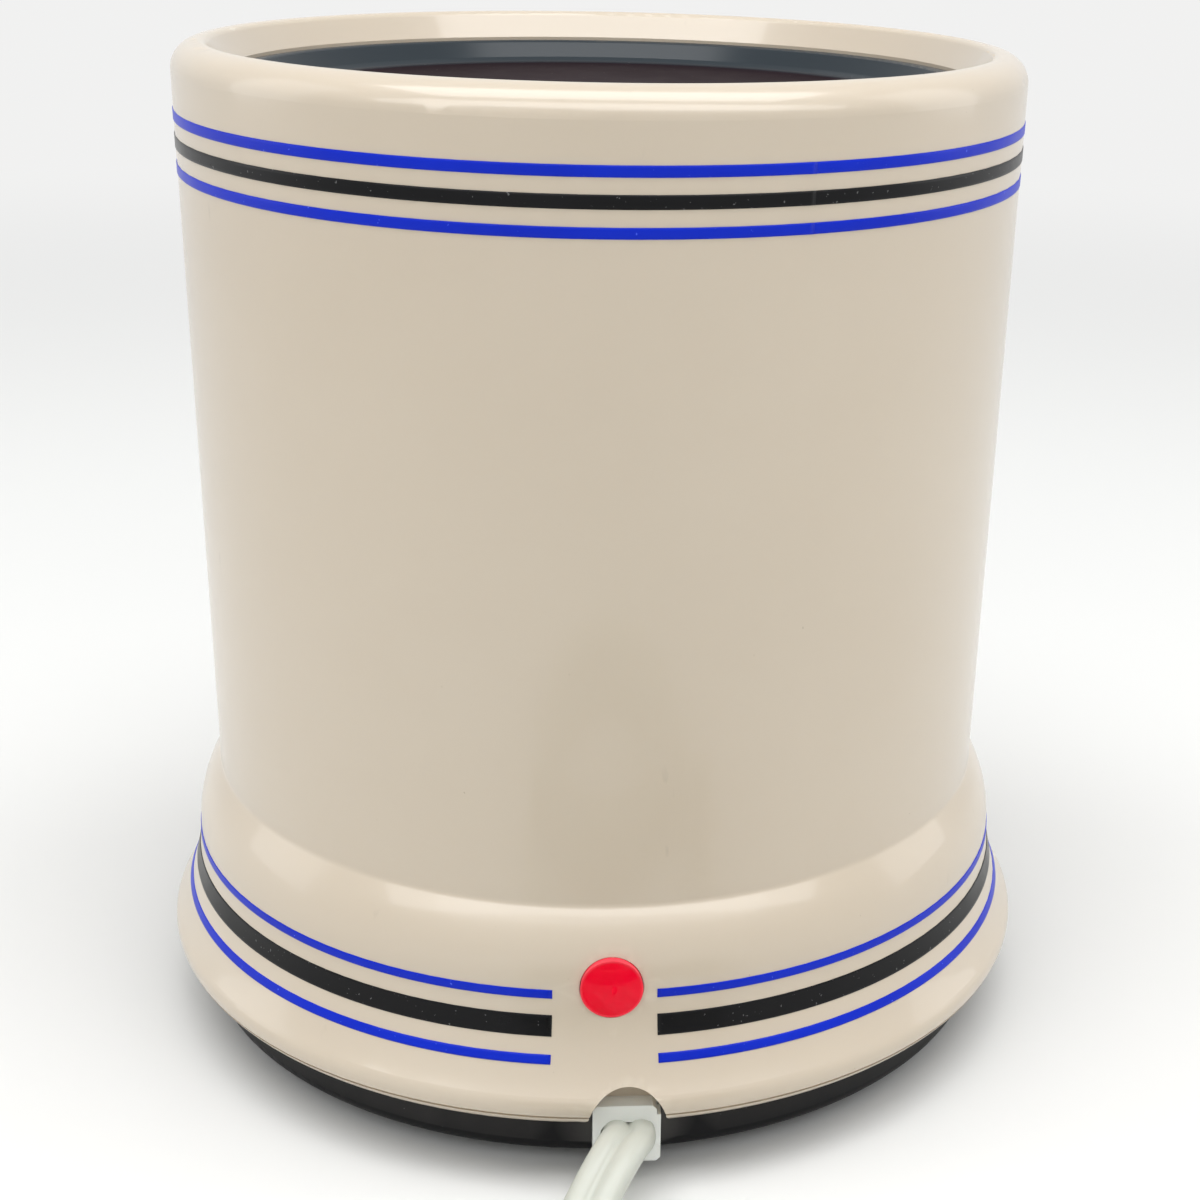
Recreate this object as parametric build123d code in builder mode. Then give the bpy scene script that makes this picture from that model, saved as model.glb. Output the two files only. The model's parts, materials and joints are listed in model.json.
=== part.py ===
# Electric candle warmer: a moulded housing with a sunk, coated hot plate in its top, a flared and striped
# foot with a pilot lamp, and a flat mains cord. +Z is up, the lamp faces -Y, and the table is z = 0.
from build123d import *
import math
import os

os.makedirs("parts", exist_ok=True)

# Housing, outside
overall_height = 156.3
skirt_gap = 10.5
skirt_rise = 4.8
flare_rise = 15.0
shoulder_rise = 11.1
shank_radius = 62.9
shoulder_reach = 3.7
shoulder_cove = 1.3
flare_reach = 4.3
edge_tuck = 1.5
top_spread = 2.2
lip_height = 4.2
lip_tuck = 4.2
crest_flat = 0.9
edge_line_rise = 1.5
edge_line_width = 0.4
edge_line_depth = 0.25
wall = 2.5
skirt_wall = 2.4

# Opening in the top and the ledge that carries the plate
opening_step = 2.8
opening_drop = 4.3
crest_round = 1.5
ledge_width = 3.6
ledge_thickness = 3.0
collar_wall = 2.5
groove_drop = 6.4

# Hot plate, one coated aluminium dish
plate_drop = 8.3
plate_thickness = 2.0
plate_fit = 0.3
rim_sink = 0.5
rim_land = 0.9
rim_rise = 0.2
dish_slope_run = 3.6
dish_cove = 3.0
rim_round = 1.2
rim_step_fit = 0.4
gasket_thickness = 1.0
gasket_margin = 0.2

# Heating sandwich under the plate, from the top down
stack_margin = 7.6
card_inset = 1.5
mica_thickness = 0.4
ribbon_thickness = 0.3
ribbon_width = 2.2
ribbon_pitch = 3.9
ribbon_inset = 3.0
ribbon_band_steps = [0, 1, 4.2, 5.2, 6.2, 7.2]
ribbon_gap = 4.0
card_thickness = 0.8
pad_thickness = 4.0
press_thickness = 1.2
press_rib_inset = 7.4
press_rib_depth = 0.9
press_rib_width = 3.0
layer_hole = 2.4

# Studs, washers and nuts
stud_radius = 2.0
stud_inset = 10.5
stud_count = 3
stud_angle = 90.0
stud_end = 1.5
washer_radius = 4.5
washer_thickness = 0.8
washer_fit = 0.15
nut_flats = 7.0
nut_height = 3.2

# Heat shield
shield_thickness = 0.8
shield_step = 0.8
shield_depth = 25.0
shield_flange_fit = 0.7
shield_slots = 12
shield_slot_width = 4.0
shield_slot_height = 10.0
shield_slot_rise = 7.0
shield_bend = 2.0

# Element terminals, fuse and clip
tab_width = 3.0
tab_thickness = 0.5
tab_tail = 4.5
slot_margin = 0.9
fuse_radius = 2.1
fuse_length = 12.0
fuse_inset = 1.5
fuse_tip = 2.0
fuse_tip_radius = 1.1
clip_thickness = 0.5
clip_width = 5.0
clip_foot = 4.5
rivet_radius = 0.9
rivet_head_radius = 1.7
rivet_head = 0.6

# Grommet and internal leads
grommet_radius = 3.9
grommet_bore = 2.4
grommet_flange = 5.6
grommet_rim = 1.6
lead_radius = 0.85
lead_spacing = 1.15
lead_run = 7.0
lead_dip = 3.0
lead_entry_drop = 9.4
neutral_dip = 0.6
tab_run = 4.5
link_run = 6.6
live_fall = 13.9
neutral_fall = 9.9
lead_drop_inset = 10.7
lead_drop_rise = 4.8

# Pan, feet and screws
pan_underside = 2.6
pan_thickness = 1.0
pan_fit = 0.8
pan_height = 14.6
pan_bend = 2.5
vent_count = 12
vent_inset = 20.0
vent_length = 14.0
vent_width = 3.0
boss_radius = 4.0
boss_inset = 8.0
boss_count = 3
boss_angle = 90.0
boss_height = 42.0
boss_rib_width = 2.0
boss_rib_fall = 3.0
boss_rib_climb = 5.0
boss_rib_bite = 1.1
screw_radius = 1.6
screw_length = 15.0
screw_head_radius = 3.3
screw_head = 1.7
screw_slot_width = 0.9
screw_slot_depth = 0.8
screw_fit = 0.2
foot_radius = 6.5
foot_draft = 0.7
foot_inset = 16.2
foot_count = 4
foot_angle = 45.0
foot_stem = 2.4
foot_barb = 3.2
foot_barb_height = 1.8
foot_cup_radius = 2.2
foot_cup_depth = 0.9

# Pilot lamp
lamp_rise = 0.2
lens_radius = 4.5
lens_disc = 1.1
lens_dome = 0.4
lens_sink = 0.7
lens_fit = 0.1
stem_radius = 3.75
stem_bore = 2.95
stem_length = 8.0
stem_fit = 0.2
clip_nut_radius = 5.2
clip_nut_thickness = 0.5
clip_nut_sink = 1.0
clip_nut_prongs = 6
clip_nut_prong_width = 0.8
clip_nut_prong_length = 1.2
neon_radius = 2.75
neon_length = 12.5
neon_lead_radius = 0.6
neon_lead_spacing = 1.2
resistor_radius = 1.2
resistor_length = 6.5
resistor_waist = 0.25
resistor_rise = 9.4
resistor_cap = 1.5
resistor_lead = 4.0
neon_drop_inset = 12.1
neon_knee = 18.0

# Notch in the skirt and the strain relief
notch_place = 2.3
notch_radius = 5.6
notch_rise = 0.5
notch_ear = 1.5
cord_wall_width = 15.0
cord_wall_height = 7.0
cord_wall_thickness = 2.3
relief_fit = 0.1
relief_height = 7.95
relief_head = 9.8
relief_head_height = 9.2
relief_head_depth = 2.6
relief_neck_width = 9.0
relief_neck_height = 8.2
relief_tail_width = 10.6
relief_tail_height = 7.6
relief_tail_depth = 4.2
relief_corner = 0.6
relief_step = 0.6
relief_step_drop = 1.5
relief_hole_fit = 0.06

# Flat twin cord, its route and its coil
cord_width = 7.5
cord_thickness = 3.8
table_gap = 0.1
cord_tail_length = 1.6
cord_swing = 17.0
mouth_run = 2.2
swing_run = 6.5
drop_run = 10.5
core_radius = 1.0
core_straight = 3.9
core_level_inset = 13.7
coil_place = -179.0
coil_radius = 46.9
coil_pitch = 4.3
coil_layer = 8.0
coil_lift = 0.55
coil_turns = 3
coil_lead_in = 14.0
coil_lead_out = 14.0
climb_sections = 9
tie_thickness = 0.5
tie_width = 5.0
tie_slack = 0.25
tie_angle = 40.0
tie_corner = 1.5

# Plug at the far end
plug_width = 24.6
plug_thickness = 13.0
plug_length = 20.0
plug_neck = 14.0
plug_neck_width = 11.0
plug_neck_thickness = 7.0
plug_corner = 3.0
plug_neck_corner = 2.5
plug_rib_first = 2.4
plug_ribs = 4
plug_rib_depth = 0.5
plug_rib_width = 1.2
plug_rib_pitch = 2.6
blade_spacing = 12.7
blade_width = 6.4
blade_thickness = 1.5
blade_length = 16.0
blade_hole = 1.6
blade_hole_place = 4.0
blade_chamfer = 1.0

# Crimp caps
crimp_radius = 2.9
crimp_bore = 2.35
crimp_length = 12.0
crimp_floor = 1.5
crimp_place = 7.0
crimp_inset = 19.7
crimp_spread = 1.25

cut = 1.0    # overrun of every cutter


def arc_radius(rise, step):
    """Radius of an arc that starts upright and moves sideways by step over its rise."""
    return (rise**2 + step**2) / (2 * step)


# Outline of the housing, worked out from the sizes above
flare_height = skirt_gap + skirt_rise
bulge_height = flare_height + flare_rise
shoulder_height = bulge_height + shoulder_rise
bulge_radius = shank_radius + shoulder_reach
flare_radius = bulge_radius + flare_reach
edge_radius = flare_radius - edge_tuck
skirt_bore = edge_radius - skirt_wall
top_radius = shank_radius + top_spread
crest_radius = top_radius - lip_tuck
opening_radius = crest_radius - crest_flat - opening_step
lamp_height = bulge_height + lamp_rise
lens_seat = bulge_radius - lens_sink

# Foot and front, worked out from the outline
pan_radius = skirt_bore - pan_fit
boss_circle_radius = pan_radius - boss_inset
foot_circle_radius = pan_radius - foot_inset
vent_radius = foot_circle_radius - vent_inset
boss_rib_foot = bulge_height - boss_rib_fall
boss_rib_head = bulge_height + boss_rib_climb
boss_rib_reach = bulge_radius - wall + boss_rib_bite
clip_nut_place = bulge_radius - wall - clip_nut_sink
cord_wall_outer = pan_radius
cord_wall_inner = cord_wall_outer - cord_wall_thickness
relief_back = cord_wall_inner - relief_tail_depth
lead_drop_place = relief_back - lead_drop_inset
lead_drop_height = lamp_height + lead_drop_rise
neon_drop_place = relief_back - neon_drop_inset
core_level_place = relief_back - core_level_inset
crimp_mouth = relief_back - crimp_inset

# Other heights and radii
lip_base = overall_height - lip_height
opening_height = overall_height - opening_drop
plate_face = overall_height - plate_drop
rim_underside = plate_face + rim_rise
ledge_top = rim_underside - gasket_thickness
ledge_bottom = ledge_top - ledge_thickness
ledge_bore = opening_radius - ledge_width
collar_radius = opening_radius + collar_wall
stack_radius = ledge_bore - stack_margin
card_radius = stack_radius - card_inset
press_rib_radius = stack_radius - press_rib_inset
ribbon_outer = card_radius - ribbon_inset
stud_circle_radius = ribbon_outer - stud_inset
fuse_place = fuse_inset - stud_circle_radius / 2
shield_radius = ledge_bore - shield_step
shield_flange = collar_radius - shield_flange_fit
groove_top = overall_height - groove_drop
plate_underside = plate_face - plate_thickness
shank_slope = (top_radius - shank_radius) / (lip_base - shoulder_height)
inner_top = shank_radius + shank_slope * (groove_top - shoulder_height) - wall
shoulder_step = bulge_radius - shank_radius
shoulder_arc = arc_radius(shoulder_height - bulge_height, shoulder_step)
inner_shoulder = bulge_height + math.sqrt(shoulder_step * (2 * (shoulder_arc - wall) - shoulder_step))
flare_arc = arc_radius(bulge_height - flare_height, flare_radius - bulge_radius)
flare_centre = bulge_radius + flare_arc
inner_flare = bulge_height - math.sqrt((flare_arc + wall) ** 2 - (flare_centre - skirt_bore) ** 2)
ribbon_top = plate_underside - mica_thickness
card_top = ribbon_top - ribbon_thickness
mica_lower_top = card_top - card_thickness
pad_top = mica_lower_top - mica_thickness
press_top = pad_top - pad_thickness
press_bottom = press_top - press_thickness
shield_top = ledge_bottom
shield_floor = shield_top - shield_depth
live_bend = shield_floor - live_fall
neutral_bend = shield_floor - neutral_fall
pan_floor = pan_underside + pan_thickness
pan_top = pan_underside + pan_height
ribbon_radii = [ribbon_outer - steps * ribbon_pitch for steps in ribbon_band_steps]
tab_x = (ribbon_gap + ribbon_width) / 2
rivet_run = fuse_radius + clip_thickness + clip_foot / 2
rivet_places = [(fuse_place - rivet_run, 0), (fuse_place + rivet_run, 0)]
tab_places = [(tab_x, -ribbon_radii[0]), (tab_x, -ribbon_radii[-1])]

# Housing: the whole outside in one revolved section
with BuildPart() as housing:
    with BuildSketch(Plane.XZ):
        with BuildLine():
            shoulder = TangentArc(
                (bulge_radius, bulge_height), (shank_radius, shoulder_height), tangent=(0, 1)
            )
            flare = TangentArc((bulge_radius, bulge_height), (flare_radius, flare_height), tangent=(0, -1))
            TangentArc(flare @ 1, (edge_radius, skirt_gap), tangent=flare % 1)
            shank = Line(shoulder @ 1, (top_radius, lip_base))
            TangentArc(shank @ 1, (crest_radius, overall_height), tangent=shank % 1)
            Polyline(
                (crest_radius, overall_height),
                (crest_radius - crest_flat, overall_height),
                (opening_radius, opening_height),
                (opening_radius, ledge_top),
                (ledge_bore, ledge_top),
                (ledge_bore, ledge_bottom),
                (collar_radius, ledge_bottom),
                (collar_radius, groove_top),
                (inner_top, groove_top),
                (shank_radius - wall, inner_shoulder),
            )
            TangentArc(
                (bulge_radius - wall, bulge_height), (shank_radius - wall, inner_shoulder), tangent=(0, 1)
            )
            TangentArc((bulge_radius - wall, bulge_height), (skirt_bore, inner_flare), tangent=(0, -1))
            Polyline((skirt_bore, inner_flare), (skirt_bore, skirt_gap), (edge_radius, skirt_gap))
        make_face()
        fillet(vertices().sort_by_distance((shank_radius, shoulder_height))[0], shoulder_cove)
        fillet(vertices().sort_by_distance((crest_radius - crest_flat, overall_height))[0], crest_round)
    revolve(axis=Axis.Z)
    # fine line just above the skirt's edge
    with BuildSketch(Plane.XY.offset(skirt_gap + edge_line_rise)):
        Circle(flare_radius + cut)
        Circle(flare_radius - edge_line_depth, mode=Mode.SUBTRACT)
    extrude(amount=edge_line_width, mode=Mode.SUBTRACT)
    # screw bosses with a rib out to the wall
    with BuildSketch(Plane.XY.offset(pan_floor)):
        with PolarLocations(boss_circle_radius, boss_count, boss_angle):
            Circle(boss_radius)
    extrude(amount=boss_height)
    with BuildSketch(Plane.XY.offset(boss_rib_foot)):
        with PolarLocations((boss_circle_radius + boss_rib_reach) / 2, boss_count, boss_angle):
            Rectangle(boss_rib_reach - boss_circle_radius, boss_rib_width)
    extrude(amount=boss_rib_head - boss_rib_foot)
    with BuildSketch(Plane.XY.offset(pan_floor)):
        with PolarLocations(boss_circle_radius, boss_count, boss_angle):
            Circle(screw_radius)
    extrude(amount=screw_length + cut, mode=Mode.SUBTRACT)
    # wall behind the notch, which closes the strain relief's slot from above
    relief_neck_top = relief_height + relief_neck_height / 2 + relief_fit
    with BuildSketch(Plane.XY.offset(relief_neck_top)):
        with Locations((notch_place, -(cord_wall_inner + skirt_bore + relief_fit) / 2)):
            Rectangle(cord_wall_width, skirt_bore + relief_fit - cord_wall_inner)
    extrude(amount=cord_wall_height)
    # arched notch in the skirt, with rounded lower corners
    ear_run = math.sqrt((notch_radius + notch_ear) ** 2 - (notch_ear - notch_rise) ** 2)
    ear_share = notch_radius / (notch_radius + notch_ear)
    touch_rise = skirt_gap + notch_rise + ear_share * (notch_ear - notch_rise)
    with BuildSketch(Plane.XZ.offset(cord_wall_outer)):
        with BuildLine():
            ear = TangentArc(
                (notch_place - ear_run, skirt_gap),
                (notch_place - ear_share * ear_run, touch_rise),
                tangent=(1, 0),
            )
            ThreePointArc(
                ear @ 1,
                (notch_place, skirt_gap + notch_rise + notch_radius),
                (notch_place + ear_share * ear_run, touch_rise),
            )
            TangentArc(
                (notch_place + ear_run, skirt_gap),
                (notch_place + ear_share * ear_run, touch_rise),
                tangent=(-1, 0),
            )
            Polyline(
                (notch_place + ear_run, skirt_gap),
                (notch_place + ear_run, skirt_gap - cut),
                (notch_place - ear_run, skirt_gap - cut),
                (notch_place - ear_run, skirt_gap),
            )
        make_face()
    extrude(amount=cord_wall_width, mode=Mode.SUBTRACT)
    # stepped hole for the pilot lamp
    with BuildSketch(Plane.XZ.offset(bulge_radius - 2 * wall)):
        with Locations((0, lamp_height)):
            Circle(stem_radius + stem_fit)
    extrude(amount=2 * wall + cut, mode=Mode.SUBTRACT)
    with BuildSketch(Plane.XZ.offset(lens_seat)):
        with Locations((0, lamp_height)):
            Circle(lens_radius + lens_fit)
    extrude(amount=wall, mode=Mode.SUBTRACT)
housing.part.label = "housing"
export_step(housing.part, "parts/housing.step")

# Hot plate: a dish with a raised, sloped rim that drops into the opening
plate_radius = opening_radius - plate_fit
rim_top = opening_height - rim_sink
slope_top = plate_radius - rim_land
with BuildPart() as plate:
    with BuildSketch(Plane.XZ):
        with BuildLine():
            Polyline(
                (0, plate_face),
                (slope_top - dish_slope_run, plate_face),
                (slope_top, rim_top),
                (plate_radius, rim_top),
                (plate_radius, rim_underside),
                (ledge_bore - rim_step_fit, rim_underside),
                (ledge_bore - rim_step_fit, plate_underside),
                (0, plate_underside),
                close=True,
            )
        make_face()
        fillet(vertices().sort_by_distance((slope_top - dish_slope_run, plate_face))[0], dish_cove)
        fillet(vertices().sort_by_distance((slope_top, rim_top))[0], rim_round)
    revolve(axis=Axis.Z)
plate.part.label = "warming_plate"
export_step(plate.part, "parts/warming_plate.step")

with BuildPart() as gasket:
    with BuildSketch(Plane.XY.offset(ledge_top)):
        Circle(plate_radius - gasket_margin)
        Circle(ledge_bore + gasket_margin, mode=Mode.SUBTRACT)
    extrude(amount=gasket_thickness)
gasket.part.label = "plate_gasket"
export_step(gasket.part, "parts/plate_gasket.step")


def layer(top, thickness, radius, slotted):
    """Sketch one disc of the heating sandwich, with stud holes and, if slotted, terminal slots."""
    with BuildPart() as disc:
        with BuildSketch(Plane.XY.offset(top - thickness)):
            Circle(radius)
            with PolarLocations(stud_circle_radius, stud_count, stud_angle):
                Circle(layer_hole, mode=Mode.SUBTRACT)
            if slotted:
                with Locations(*tab_places):
                    Rectangle(tab_width + slot_margin, tab_thickness + slot_margin, mode=Mode.SUBTRACT)
        extrude(amount=thickness)
    return disc.part


mica_upper = layer(plate_underside, mica_thickness, stack_radius, False)
mica_upper.label = "mica_upper"
export_step(mica_upper, "parts/mica_upper.step")
element_card = layer(card_top, card_thickness, card_radius, True)
element_card.label = "element_card"
export_step(element_card, "parts/element_card.step")
mica_lower = layer(mica_lower_top, mica_thickness, stack_radius, True)
mica_lower.label = "mica_lower"
export_step(mica_lower, "parts/mica_lower.step")
insulation_pad = layer(pad_top, pad_thickness, card_radius, True)
insulation_pad.label = "insulation_pad"
export_step(insulation_pad, "parts/insulation_pad.step")

# Resistance ribbon: open rings joined in series on alternate sides of the gap, clear of the studs
with BuildPart() as ribbon:
    with BuildSketch(Plane.XY.offset(card_top)):
        for ring_radius in ribbon_radii:
            Circle(ring_radius + ribbon_width / 2)
            Circle(ring_radius - ribbon_width / 2, mode=Mode.SUBTRACT)
        with Locations((0, -ribbon_outer)):
            Rectangle(ribbon_gap, 2 * (ribbon_outer - ribbon_radii[-1]) + ribbon_pitch, mode=Mode.SUBTRACT)
        for place, (outside, inside) in enumerate(zip(ribbon_radii, ribbon_radii[1:])):
            side = 1 if place % 2 else -1
            with Locations((side * tab_x, -(outside + inside) / 2)):
                Rectangle(ribbon_width, outside - inside)
    extrude(amount=ribbon_thickness)
ribbon.part.label = "resistance_ribbon"
export_step(ribbon.part, "parts/resistance_ribbon.step")

with BuildPart() as terminals:
    with BuildSketch(Plane.XY.offset(press_bottom - tab_tail)):
        with Locations(*tab_places):
            Rectangle(tab_width, tab_thickness)
    extrude(amount=card_top - press_bottom + tab_tail)
terminals.part.label = "element_terminals"
export_step(terminals.part, "parts/element_terminals.step")

# Pressure plate with a pressed stiffening ring
with BuildPart() as press:
    add(layer(press_top, press_thickness, stack_radius, True))
    with BuildSketch(Plane.XY.offset(press_bottom)):
        Circle(press_rib_radius + press_rib_width / 2)
        Circle(press_rib_radius - press_rib_width / 2, mode=Mode.SUBTRACT)
    extrude(amount=-press_rib_depth)
    with BuildSketch(Plane.XY.offset(press_bottom)):
        with Locations(*rivet_places):
            Circle(rivet_radius)
    extrude(amount=press_thickness, mode=Mode.SUBTRACT)
press.part.label = "pressure_plate"
export_step(press.part, "parts/pressure_plate.step")

# Studs on the plate, with the washers and nuts of both levels
with BuildPart() as studs:
    with BuildSketch(Plane.XY.offset(shield_floor - washer_thickness - nut_height - stud_end)):
        with PolarLocations(stud_circle_radius, stud_count, stud_angle):
            Circle(stud_radius)
    extrude(amount=plate_underside - shield_floor + washer_thickness + nut_height + stud_end)
studs.part.label = "plate_studs"
export_step(studs.part, "parts/plate_studs.step")


def washers(top):
    """Plain washers on the studs, under the face at top."""
    with BuildPart() as ring:
        with BuildSketch(Plane.XY.offset(top - washer_thickness)):
            with PolarLocations(stud_circle_radius, stud_count, stud_angle):
                Circle(washer_radius)
                Circle(stud_radius + washer_fit, mode=Mode.SUBTRACT)
        extrude(amount=washer_thickness)
    return ring.part


def nuts(top):
    """Hexagon nuts on the studs, under the washers of the face at top."""
    with BuildPart() as ring:
        with BuildSketch(Plane.XY.offset(top - washer_thickness - nut_height)):
            with PolarLocations(stud_circle_radius, stud_count, stud_angle):
                RegularPolygon(nut_flats / 2, 6, major_radius=False)
                Circle(stud_radius, mode=Mode.SUBTRACT)
        extrude(amount=nut_height)
    return ring.part


element_washers = washers(press_bottom)
element_washers.label = "element_washers"
export_step(element_washers, "parts/element_washers.step")
element_nuts = nuts(press_bottom)
element_nuts.label = "element_nuts"
export_step(element_nuts, "parts/element_nuts.step")
shield_washers = washers(shield_floor)
shield_washers.label = "shield_washers"
export_step(shield_washers, "parts/shield_washers.step")
shield_nuts = nuts(shield_floor)
shield_nuts.label = "shield_nuts"
export_step(shield_nuts, "parts/shield_nuts.step")

# Heat shield: a drawn cup hung under the ledge
with BuildPart() as shield:
    with BuildSketch(Plane.XZ):
        with BuildLine():
            Polyline(
                (0, shield_floor),
                (shield_radius, shield_floor),
                (shield_radius, shield_top - shield_thickness),
                (shield_flange, shield_top - shield_thickness),
                (shield_flange, shield_top),
                (shield_radius - shield_thickness, shield_top),
                (shield_radius - shield_thickness, shield_floor + shield_thickness),
                (0, shield_floor + shield_thickness),
                close=True,
            )
        make_face()
        fillet(vertices().sort_by_distance((shield_radius, shield_floor))[0], shield_bend)
        inner_corner = (shield_radius - shield_thickness, shield_floor + shield_thickness)
        fillet(vertices().sort_by_distance(inner_corner)[0], shield_bend - shield_thickness)
    revolve(axis=Axis.Z)
    with BuildSketch(Plane.XY.offset(shield_floor)):
        Circle(grommet_radius)
        with PolarLocations(stud_circle_radius, stud_count, stud_angle):
            Circle(layer_hole)
    extrude(amount=shield_thickness, mode=Mode.SUBTRACT)
    with PolarLocations(shield_radius, shield_slots, 180 / shield_slots):
        with Locations((0, 0, shield_floor + shield_slot_rise)):
            Box(
                4 * shield_thickness, shield_slot_width, shield_slot_height,
                align=(Align.CENTER, Align.CENTER, Align.MIN), mode=Mode.SUBTRACT,
            )
shield.part.label = "heat_shield"
export_step(shield.part, "parts/heat_shield.step")

with BuildPart() as grommet:
    with BuildSketch(Plane.XY.offset(shield_floor - grommet_rim)):
        Circle(grommet_flange)
    extrude(amount=grommet_rim)
    with BuildSketch(Plane.XY.offset(shield_floor)):
        Circle(grommet_radius)
    extrude(amount=shield_thickness)
    with BuildSketch(Plane.XY.offset(shield_floor + shield_thickness)):
        Circle(grommet_flange)
    extrude(amount=grommet_rim)
    with BuildSketch(Plane.XY.offset(shield_floor - grommet_rim)):
        Circle(grommet_bore)
    extrude(amount=2 * grommet_rim + shield_thickness, mode=Mode.SUBTRACT)
grommet.part.label = "lead_grommet"
export_step(grommet.part, "parts/lead_grommet.step")

# Thermal fuse under the pressure plate, held by a strap and two rivets
fuse_height = press_bottom - fuse_radius
with BuildPart() as fuse:
    with BuildSketch(Plane.XZ.offset(-fuse_length / 2)):
        with Locations((fuse_place, fuse_height)):
            Circle(fuse_radius)
    extrude(amount=fuse_length)
    with BuildSketch(Plane.XZ.offset(-fuse_length / 2 - fuse_tip)):
        with Locations((fuse_place, fuse_height)):
            Circle(fuse_tip_radius)
    extrude(amount=fuse_length + 2 * fuse_tip)
fuse.part.label = "thermal_fuse"
export_step(fuse.part, "parts/thermal_fuse.step")

clip_outer = fuse_radius + clip_thickness
with BuildPart() as clip:
    with BuildSketch(Plane.XZ.offset(-clip_width / 2)):
        with Locations((fuse_place, fuse_height)):
            Circle(clip_outer)
        with Locations((fuse_place, press_bottom)):
            Rectangle(2 * clip_outer, fuse_radius, align=(Align.CENTER, Align.MAX))
            Rectangle(2 * (clip_outer + clip_foot), clip_thickness, align=(Align.CENTER, Align.MAX))
        with Locations((fuse_place, fuse_height)):
            Circle(fuse_radius, mode=Mode.SUBTRACT)
            Rectangle(2 * fuse_radius, fuse_radius, align=(Align.CENTER, Align.MIN), mode=Mode.SUBTRACT)
        with Locations((fuse_place, press_bottom)):
            Rectangle(2 * clip_outer, clip_outer, align=(Align.CENTER, Align.MIN), mode=Mode.SUBTRACT)
    extrude(amount=clip_width)
    with BuildSketch(Plane.XY.offset(press_bottom - clip_thickness)):
        with Locations(*rivet_places):
            Circle(rivet_radius)
    extrude(amount=clip_thickness, mode=Mode.SUBTRACT)
clip.part.label = "fuse_clip"
export_step(clip.part, "parts/fuse_clip.step")

with BuildPart() as rivets:
    with BuildSketch(Plane.XY.offset(press_bottom - clip_thickness)):
        with Locations(*rivet_places):
            Circle(rivet_radius)
    extrude(amount=press_thickness + clip_thickness)
    with BuildSketch(Plane.XY.offset(press_bottom - clip_thickness)):
        with Locations(*rivet_places):
            Circle(rivet_head_radius)
    extrude(amount=-rivet_head)
rivets.part.label = "clip_rivets"
export_step(rivets.part, "parts/clip_rivets.step")

# Pan that closes the foot
with BuildPart() as pan:
    with BuildSketch(Plane.XZ):
        with BuildLine():
            Polyline(
                (0, pan_underside),
                (pan_radius, pan_underside),
                (pan_radius, pan_top),
                (pan_radius - pan_thickness, pan_top),
                (pan_radius - pan_thickness, pan_floor),
                (0, pan_floor),
                close=True,
            )
        make_face()
        fillet(vertices().sort_by_distance((pan_radius, pan_underside))[0], pan_bend)
        pan_corner = vertices().sort_by_distance((pan_radius - pan_thickness, pan_floor))[0]
        fillet(pan_corner, pan_bend - pan_thickness)
    revolve(axis=Axis.Z)
    with BuildSketch(Plane.XY.offset(pan_underside)):
        with PolarLocations(boss_circle_radius, boss_count, boss_angle):
            Circle(screw_radius + screw_fit)
        with PolarLocations(foot_circle_radius, foot_count, foot_angle):
            Circle(foot_stem)
        with PolarLocations(vent_radius, vent_count):
            SlotOverall(vent_length, vent_width)
    extrude(amount=pan_thickness, mode=Mode.SUBTRACT)
    # slot for the strain relief's neck, and room for the wall above it
    with BuildSketch(Plane.XZ.offset(cord_wall_inner - pan_thickness)):
        with Locations((notch_place, relief_height - relief_neck_height / 2 - relief_fit)):
            Rectangle(
                relief_neck_width + 2 * relief_fit, pan_height, align=(Align.CENTER, Align.MIN)
            )
        with Locations((notch_place, relief_neck_top - relief_fit)):
            Rectangle(cord_wall_width + 2 * wall, pan_height, align=(Align.CENTER, Align.MIN))
    extrude(amount=2 * wall, mode=Mode.SUBTRACT)
pan.part.label = "bottom_pan"
export_step(pan.part, "parts/bottom_pan.step")

with BuildPart() as screws:
    with BuildSketch(Plane.XY.offset(pan_underside)):
        with PolarLocations(boss_circle_radius, boss_count, boss_angle):
            Circle(screw_radius)
    extrude(amount=pan_thickness + screw_length)
    with BuildSketch(Plane.XY.offset(pan_underside)):
        with PolarLocations(boss_circle_radius, boss_count, boss_angle):
            Circle(screw_head_radius)
    extrude(amount=-screw_head)
    with BuildSketch(Plane.XY.offset(pan_underside - screw_head)):
        with PolarLocations(boss_circle_radius, boss_count, boss_angle):
            Rectangle(screw_slot_width, 2 * screw_head_radius)
    extrude(amount=screw_slot_depth, mode=Mode.SUBTRACT)
screws.part.label = "pan_screws"
export_step(screws.part, "parts/pan_screws.step")

# Rubber feet, pushed through the pan with a barbed stem
with BuildPart() as feet:
    with PolarLocations(foot_circle_radius, foot_count, foot_angle):
        Cone(
            foot_radius - foot_draft, foot_radius, pan_underside,
            align=(Align.CENTER, Align.CENTER, Align.MIN),
        )
    with BuildSketch(Plane.XY.offset(pan_underside)):
        with PolarLocations(foot_circle_radius, foot_count, foot_angle):
            Circle(foot_stem)
    extrude(amount=pan_thickness)
    with BuildSketch(Plane.XY.offset(pan_floor)):
        with PolarLocations(foot_circle_radius, foot_count, foot_angle):
            Circle(foot_barb)
    extrude(amount=foot_barb_height)
    with BuildSketch(Plane.XY):
        with PolarLocations(foot_circle_radius, foot_count, foot_angle):
            Circle(foot_cup_radius)
    extrude(amount=foot_cup_depth, mode=Mode.SUBTRACT)
feet.part.label = "rubber_feet"
export_step(feet.part, "parts/rubber_feet.step")

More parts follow.
